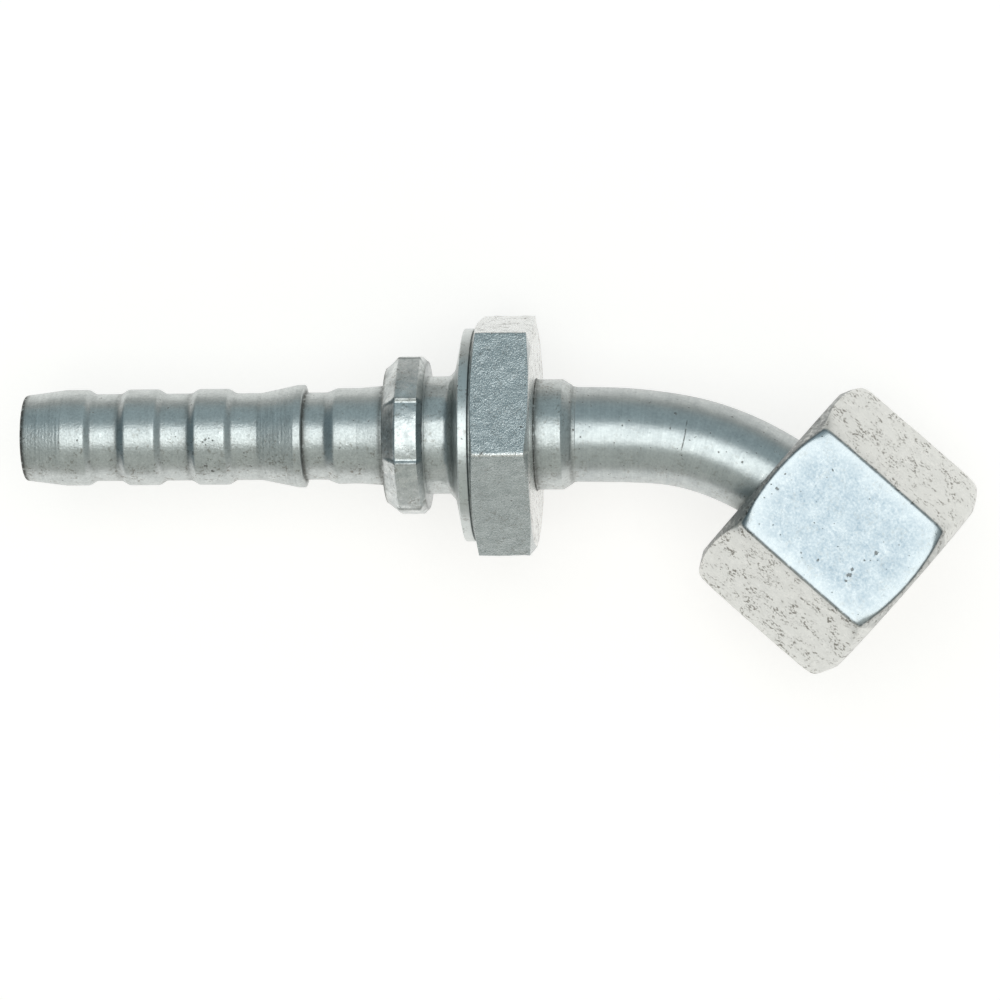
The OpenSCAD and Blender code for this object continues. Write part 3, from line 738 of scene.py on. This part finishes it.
def bentTube():
    s = tube
    arcLength = bendRadius * bendAngle
    first = s["start"] - bendStart
    last = arcLength + s["stub"]
    shoulder = arcLength + s["spigotStart"]
    corners = [
        (first, s["inner"] / 2, 0.0, 0.0), (first, s["outer"] / 2, 0.0, 0.0),
        (shoulder, s["outer"] / 2, 0.05, 0.3), (shoulder + s["spigotFall"], s["spigot"] / 2, 0.0, 0.3),
        (last, s["spigot"] / 2, 0.0, 0.0), (last, s["inner"] / 2, 0.0, 0.0),
    ]
    path, radius, dirtAndShade = outlineOf(corners, s["step"])
    theta = evenTurn(s["columns"])
    local = turned(path + bendStart, radius, theta)
    path, radius = path[:, None], radius[:, None]
    # Bending flattens the tube, most on the inside of the bend, and widens it across, by a share
    # that rises and falls as 3 u squared - 2 u cubed; its middle line also sags a little where the
    # bend begins
    share = np.clip((path + s["flatBefore"]) / s["flatRise"], 0, 1)
    share = share * np.clip((arcLength + s["flatAfter"] - path) / s["flatFall"], 0, 1)
    share = share * share * (3 - 2 * share)
    flattened = np.where(np.sin(theta) < 0, s["flatIn"], s["flatOut"])
    oval = share * (s["widened"] * np.cos(theta) ** 2 - flattened * np.sin(theta) ** 2)
    points = alongBend(path, radius + oval, theta[None, :])
    points[..., 1] -= s["sag"] * np.exp(-((path - s["sagAt"]) / s["sagLength"]) ** 2)
    stainsAndSheen = np.clip(s["stainsAndSheen"] - s["sideWear"] * np.sin(theta), s["leastWear"], 1.0)
    # The side towards +Y is darkened: painted shade
    side = s["sideShade"] * np.clip(np.sin(theta) * s["sideShadeGain"] - s["sideShadeStart"], 0, 1)
    dirtAndShade = np.maximum(dirtAndShade[:, None], side[None, :])
    return makePiece("bent_tube", points, local, dirtAndShade, (0.6, stainsAndSheen, 0.0), materials["tube"],
        "fitting", "elbow_tube")


head = {
    "face": 1.5, "socket": 12.5, "bore": 9.2, "socketEnd": 5.9, "faceRim": 17.65,
    "shoulder": 21.2, "shoulderLength": 1.599, "cone": 18.0, "coneAngle": 12.0, "coneDrop": 0.02,
    "coneLength": 9.9, "edge": 0.4, "step": 0.25, "columns": 300,
    "ringAt": 3.4, "ringHalf": 1.2, "ringSeat": 14.855, "ringThick": 2.0, "ringParts": 40,
    "ringColumns": 240,
}


def coneStart():
    # The cone begins after the 45 degree face, which takes as much length as it rises, and the
    # shoulder: face + (shoulder - face's rim) / 2 + shoulder's length
    return head["face"] + (head["shoulder"] - head["faceRim"]) / 2 + head["shoulderLength"]


def coneHead():
    s = head
    slope = math.tan(math.radians(s["coneAngle"]))
    start = coneStart()
    tip = start + s["coneLength"]

    def coneRadius(x):
        return s["cone"] / 2 - (x - start) * slope

    front, back = start + s["ringAt"] + s["ringHalf"], start + s["ringAt"] - s["ringHalf"]
    # The foot of the cone and the ring's groove are darkened: painted shade in the recesses
    corners = [
        (s["face"], s["socket"] / 2, 0.0, 0.2), (s["face"], s["faceRim"] / 2, 0.1, 0.2),
        (start - s["shoulderLength"], s["shoulder"] / 2, 0.15, 0.0), (start, s["shoulder"] / 2, 0.1, 0.0),
        (start + s["coneDrop"], s["cone"] / 2, 0.1, 0.5), (back, coneRadius(back), 0.08, 0.0),
        (back, s["ringSeat"] / 2, 0.1, 0.6), (front, s["ringSeat"] / 2, 0.1, 0.6),
        (front, coneRadius(front), 0.08, 0.0), (tip - s["edge"], coneRadius(tip - s["edge"]), 0.1, 0.0),
        (tip, coneRadius(tip) - s["edge"], 0.1, 0.0), (tip, s["bore"] / 2, 0.1, 0.2),
        (s["socketEnd"], s["bore"] / 2, 0.0, 0.0), (s["socketEnd"], s["socket"] / 2, 0.0, 0.0),
    ]
    x, radius, dirtAndShade = outlineOf(corners, s["step"])
    theta = evenTurn(s["columns"])
    points = turned(x, radius, theta)
    return makePiece("cone_head_turned", onBendEnd(points), points, dirtAndShade[:, None], (0.8, 0.2, 0.0),
        materials["head"], "fitting", "cone_head")


def sealRing():
    s = head
    # Ring: a circle of the ring's thickness carried round the axis. x is the ring's middle + half
    # its thickness * cos(around), and radius its middle radius + half its thickness * sin(around).
    middle = (s["ringSeat"] + s["ringThick"]) / 2
    around = evenTurn(s["ringParts"])
    theta = evenTurn(s["ringColumns"])
    points = turned(coneStart() + s["ringAt"] + s["ringThick"] / 2 * np.cos(around),
        middle + s["ringThick"] / 2 * np.sin(around), theta)
    return makePiece("seal_ring", onBendEnd(points), points, 0.0, (0.0, 0.0, 0.0),
        materials["rubber"], "fitting", "o_ring")


nut = {
    "start": -6.8, "end": 16.7, "backBore": 16.3, "backLength": 7.2, "flats": 6, "acrossFlats": 29.5,
    "turn": 4.6, "face": 27.8, "chamferAngle": 25.0, "overCorners": 34.4, "threadBore": 22.4,
    "mouth": 24.0, "backEdge": 0.3, "mouthEdge": 0.1, "mouthDepth": 0.5, "wallDepth": 0.8, "wall": 0.35,
    "wallRise": 0.6, "cornerSoftness": 0.22, "chamferSoftness": 0.35, "tipSoftness": 0.9,
    "tipWidth": 1.8, "rimDepth": 0.5, "waves": ((2.2, 31, 0.010), (7.0, 32, 0.02)), "sunk": 0.02,
    "step": 0.26, "perFlat": 60, "crowding": 0.75,
}
nutFace = {
    # The smooth flat, its paler border and its dark outline, a painted reflection, and the painted shade on
    # the back chamfer
    "outline": 0.12, "outlineWidth": 0.12, "outlineShade": 0.7, "outlineOver": 0.6,
    "border": 1.6, "borderFull": 1.4, "smoothStains": 0.3, "sideStainsAndSheen": 2.0,
    "backShade": 0.55, "backReach": 1.2, "backDepth": 0.2, "sightLimit": 31.5,
}


def nutSeatEnd():
    # Where the 45 degree seat behind the thread ends: it takes as much length as it rises
    return nut["start"] + nut["backLength"] + (nut["threadBore"] - nut["backBore"]) / 2


def swivelNut():
    s = nut
    slope = 1 / math.tan(math.radians(s["chamferAngle"]))
    reach = (s["overCorners"] - s["face"]) / 2 / slope
    wide = s["mouth"] / 2 + s["wall"]
    seatEnd = nutSeatEnd()
    corners = [
        (s["start"] + s["backEdge"], s["backBore"] / 2, 0.1, 0.2),
        (s["start"], s["backBore"] / 2 + s["backEdge"], 0.1, 0.2),
        (s["start"], s["face"] / 2, 0.5, 0.1), (s["start"] + reach, s["overCorners"] / 2, 0.1, 0.0),
        (s["end"] - reach, s["overCorners"] / 2, 0.1, 0.0), (s["end"], s["face"] / 2, 0.5, 0.1),
        (s["end"], s["mouth"] / 2 + s["mouthEdge"], 0.1, 0.2),
        (s["end"] - s["mouthDepth"], wide - s["wallRise"], 0.0, 0.2),
        (s["end"] - s["wallDepth"], wide, 0.0, 0.2), (seatEnd + s["wallRise"], wide, 0.0, 0.2),
        (seatEnd, s["threadBore"] / 2, 0.0, 0.2),
        (s["start"] + s["backLength"], s["backBore"] / 2, 0.1, 0.2),
    ]
    x, radius, dirtAndShade = outlineOf(corners, s["step"])
    theta = turnByFlats(s["flats"], s["perFlat"], s["turn"], s["crowding"])
    flat = flatSided(theta, s["flats"], s["acrossFlats"], s["turn"], s["cornerSoftness"])
    # The chamfers' edges are crisp along the flats and round off towards the prism's corners:
    # softness + tipSoftness * exp(-(distance from the corner / tipWidth) squared). The chamfer's
    # cone goes on rising past the outline's top, so that the prism's long edges aren't bevelled.
    sector = fullTurn / s["flats"]
    fromCorner = (sector / 2 - np.abs(angleFrom(theta, s["turn"], sector))) * s["acrossFlats"] / 2
    softness = s["chamferSoftness"] + s["tipSoftness"] * np.exp(-(fromCorner / s["tipWidth"]) ** 2)
    along = np.minimum(x - s["start"], s["end"] - x)
    cone = radius + slope * np.maximum(along - reach, 0)
    cut = softLower(cone[:, None], flat[None, :], softness[None, :])
    outside = radius[:, None] > s["face"] / 2 - s["rimDepth"]
    formed = np.where(outside, cut, radius[:, None])
    points = uneven(x, formed, theta, s["waves"], outside, s["sunk"])
    dirtAndShade, stainsAndSheen, border = nutFinish(theta, flat, along, x, radius, dirtAndShade, slope)
    return makePiece("swivel_nut_body", onBendEnd(points), points, dirtAndShade, (0.0, stainsAndSheen, border),
        materials["nut"], "nut", "swivel_nut")


def nutFinish(theta, flat, along, x, radius, dirtAndShade, slope):
    # One flat is smooth, with a polished border and a dark outline that is a painted reflection; the others
    # are painted paler, also a painted reflection, and carry more stains and dashes
    s, f = nut, nutFace
    off = angleFrom(theta, s["turn"])
    limit = math.radians(f["sightLimit"])
    across = np.tan(np.clip(off, -limit, limit)) * s["acrossFlats"] / 2
    halfWidth = s["acrossFlats"] / 2 * math.tan(math.pi / s["flats"])
    beside = np.maximum(halfWidth - np.abs(across), 0)[None, :]
    ahead = np.maximum(along[:, None] - (flat[None, :] - s["face"] / 2) / slope, 0)
    # How far inside the flat's outline, with rounded corners: a + b - root of a squared + b squared
    inset = beside + ahead - np.sqrt(beside ** 2 + ahead ** 2)
    facing = (np.abs(off) < math.pi / 2)[None, :] & (radius[:, None] > s["face"] / 2)
    smooth = (inset > f["outline"]) & facing
    border = np.clip(f["borderFull"] - inset / f["border"], 0, 1) * smooth
    stainsAndSheen = np.where(smooth, f["smoothStains"], f["sideStainsAndSheen"])
    onFlat = np.abs(off) < math.pi / s["flats"] + math.radians(f["outlineOver"])
    # A dark line along the smooth flat's outline: painted reflection of its rounded edge
    edge = np.exp(-((inset - f["outline"]) / f["outlineWidth"]) ** 2) * f["outlineShade"]
    # The back chamfer is darkened: painted shade
    onBack = (x < s["start"] + f["backReach"]) & (radius > s["face"] / 2 - f["backDepth"])
    back = onBack[:, None] * (radius[:, None] < flat[None, :]) * f["backShade"]
    dirtAndShade = np.maximum(np.maximum(dirtAndShade[:, None], back), facing * onFlat[None, :] * edge)
    return dirtAndShade, stainsAndSheen, border


thread = {
    "pitch": 1.5, "depth": 0.8, "crest": 0.14, "flank": 0.72, "faceClear": 0.02, "mouthWall": 0.25,
    "wall": 0.5, "wallEnd": 0.7, "step": 0.1, "columns": 300,
}


def nutThread():
    s, t = nut, thread
    # Right-hand internal thread: the depth at (x, theta) is a flattened triangle wave of
    # x / pitch + theta / full turn, cut off by the cone of the mouth's chamfer
    seatEnd = nutSeatEnd()
    bore, mouth, end = s["threadBore"] / 2, s["mouth"] / 2, s["end"] - t["faceClear"]
    corners = [
        (seatEnd, bore, 0.0, 0.0), (end, bore, 0.0, 0.0), (end, mouth + t["mouthWall"], 0.0, 0.0),
        (s["end"] - t["wallEnd"], mouth + t["wall"], 0.0, 0.0), (seatEnd, mouth + t["wall"], 0.0, 0.0),
    ]
    x, radius, dirtAndShade = outlineOf(corners, t["step"])
    theta = evenTurn(t["columns"])
    phase = (x[:, None] / t["pitch"] + theta[None, :] / fullTurn) % 1
    depth = np.clip((np.abs(2 * phase - 1) - t["crest"]) / t["flank"], 0, 1) * t["depth"]
    threaded = np.maximum(bore + depth, mouth - (s["end"] - x[:, None]))
    inner = np.isclose(radius, bore)[:, None]
    points = turned(x, np.where(inner, threaded, radius[:, None]), theta)
    return makePiece("nut_thread", onBendEnd(points), points, dirtAndShade[:, None], (0.3, 0.2, 0.0),
        materials["head"], "nut", "swivel_nut")


for build in (hoseTail, lockingCollar, neckFlange, wrenchHexagon, tubeHub, hubBraze, headBraze,
        bentTube, coneHead, sealRing, swivelNut, nutThread):
    built = build()
    print("piece made:", built.name, len(built.data.polygons), "faces")


studio = {
    # distances are metres here; the view's centre and width and the sensor are millimetres
    "floorSize": 8.0, "floorShade": (0.60, 0.56, 0.54), "floorMottle": 0.02, "floorGlow": 0.65,
    "farGlow": 0.22, "floorGap": 0.00005, "glowColour": (1.0, 0.995, 0.98, 1.0),
    "poolStart": 0.1, "poolEnd": 0.32, "sideStart": 0.038, "sideEnd": 0.085, "sideShare": 0.2,
    "lampHeight": 1.0, "lampSize": 0.85, "lampRadiance": 1.35, "lampAside": 0.08, "lampForward": 0.08,
    "lampColour": (0.98, 1.0, 1.0),
    "viewTurn": 4.7, "viewLean": 1.43, "viewRoll": 0.344, "viewCentre": (64.03, -8.73, 0.0),
    "viewWidth": 133.93, "viewDistance": 0.665, "sensor": 36.0,
    "clip": (0.05, 30.0),
}


def paleFloor():
    s = studio
    material = emptyMaterial("pale_floor")
    tree = material.node_tree
    place = addNode(tree, "ShaderNodeTexCoord", {}).outputs["Object"]
    paler = [part + s["floorMottle"] for part in s["floorShade"]]
    colour = tint(tree, noise(tree, place, 3.0, 2.0), (*s["floorShade"], 1), (*paler, 1))
    path = addNode(tree, "ShaderNodeLightPath", {})
    mirrored = calc(tree, "MAXIMUM", path.outputs["Is Glossy Ray"], path.outputs["Is Transmission Ray"])
    # The floor is white in view; in the part's reflections it fades to grey further off, and
    # sooner towards +Y
    fromCentre = vectorMath(tree, "ADD", place, [-part * mm for part in s["viewCentre"]])[0]
    distance = vectorMath(tree, "LENGTH", fromCentre)[1]
    across = addNode(tree, "ShaderNodeSeparateXYZ", {0: fromCentre}).outputs[1]
    pool = times(tree, ramp(tree, distance, s["poolStart"], s["poolEnd"], s["floorGlow"], s["farGlow"]),
        ramp(tree, across, s["sideStart"], s["sideEnd"], 1.0, s["sideShare"]))
    seen = times(tree, path.outputs["Is Camera Ray"], s["floorGlow"])
    glow = calc(tree, "ADD", seen, times(tree, mirrored, pool))
    endMaterial(tree, {"Base Color": colour, "Roughness": 0.9, "Specular IOR Level": 0.0,
        "Emission Color": s["glowColour"], "Emission Strength": glow})
    half = s["floorSize"] / 2
    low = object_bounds()[0].z - s["floorGap"]
    mesh = bpy.data.meshes.new("floor")
    mesh.from_pydata([(-half, -half, low), (half, -half, low), (half, half, low), (-half, half, low)],
        [], [(0, 1, 2, 3)])
    mesh.materials.append(material)
    floor = bpy.data.objects.new("floor", mesh)
    bpy.context.scene.collection.objects.link(floor)


sky = {
    "horizon": 0.38, "sides": 0.6, "highMinusY": (0.53, 0.56, 0.53, 1), "highPlusY": (0.36, 0.45, 0.48, 1),
    "lowMinusY": (0.54, 0.55, 0.52, 1), "lowPlusY": (0.36, 0.42, 0.43, 1), "dark": (0.085, 0.135, 0.16, 1),
    "darkRange": (0.42, 0.72), "darkMinusX": 0.87, "darkPlusX": 0.32,
}


def softSky():
    # Sky: grey at the horizon and bluer higher up, paler and warmer towards -Y, and dark towards
    # both ends of the part, most at the tail's
    s = sky
    world = bpy.data.worlds.new("soft_sky")
    bpy.context.scene.world = world
    world.use_nodes = True
    tree = world.node_tree
    tree.nodes.clear()
    way = addNode(tree, "ShaderNodeTexCoord", {}).outputs["Generated"]
    x, y, z = addNode(tree, "ShaderNodeSeparateXYZ", {0: way}).outputs
    side = ramp(tree, y, -s["sides"], s["sides"])
    high = tint(tree, side, s["highMinusY"], s["highPlusY"])
    low = tint(tree, side, s["lowMinusY"], s["lowPlusY"])
    colour = tint(tree, ramp(tree, z, 0.0, s["horizon"]), low, high)
    near, far = s["darkRange"]
    ends = calc(tree, "ADD", ramp(tree, x, -near, -far, 0.0, s["darkMinusX"]),
        ramp(tree, x, near, far, 0.0, s["darkPlusX"]))
    colour = tint(tree, ends, colour, s["dark"])
    background = addNode(tree, "ShaderNodeBackground", {"Color": colour, "Strength": 1.0})
    output = tree.nodes.new("ShaderNodeOutputWorld")
    tree.links.new(background.outputs[0], output.inputs[0])


def softLamp():
    s = studio
    data = bpy.data.lights.new("soft_box", "AREA")
    data.shape = "SQUARE"
    data.size = s["lampSize"]
    data.energy = s["lampRadiance"] * math.pi * s["lampSize"] ** 2
    data.color = s["lampColour"]
    lamp = bpy.data.objects.new("soft_box", data)
    centre = np.array(s["viewCentre"]) * mm
    lamp.location = (centre[0] + s["lampAside"], centre[1] + s["lampForward"], s["lampHeight"])
    lamp.visible_camera = False
    bpy.context.scene.collection.objects.link(lamp)


def camera():
    s = studio
    turn, lean = math.sin(math.radians(s["viewTurn"])), math.sin(math.radians(s["viewLean"]))
    roll = math.radians(s["viewRoll"])
    back = np.array([turn, lean, math.sqrt(1 - turn ** 2 - lean ** 2)])
    right = np.array([1.0, 0.0, 0.0]) - turn * back
    right /= np.linalg.norm(right)
    upward = np.cross(back, right)
    leaned = right * math.cos(roll) - upward * math.sin(roll)
    raised = upward * math.cos(roll) + right * math.sin(roll)
    data = bpy.data.cameras.new("camera")
    data.sensor_width = s["sensor"]
    data.lens = s["sensor"] * s["viewDistance"] / (s["viewWidth"] * mm)
    data.clip_start, data.clip_end = s["clip"]
    view = bpy.data.objects.new("camera", data)
    spot = np.array(s["viewCentre"]) * mm + back * s["viewDistance"]
    view.matrix_world = Matrix([(leaned[i], raised[i], back[i], spot[i]) for i in range(3)]
        + [(0, 0, 0, 1)])
    bpy.context.scene.collection.objects.link(view)
    bpy.context.scene.camera = view


paleFloor()
softSky()
softLamp()
camera()
bpy.context.scene.view_settings.view_transform = "Standard"
print("floor, light and camera set")
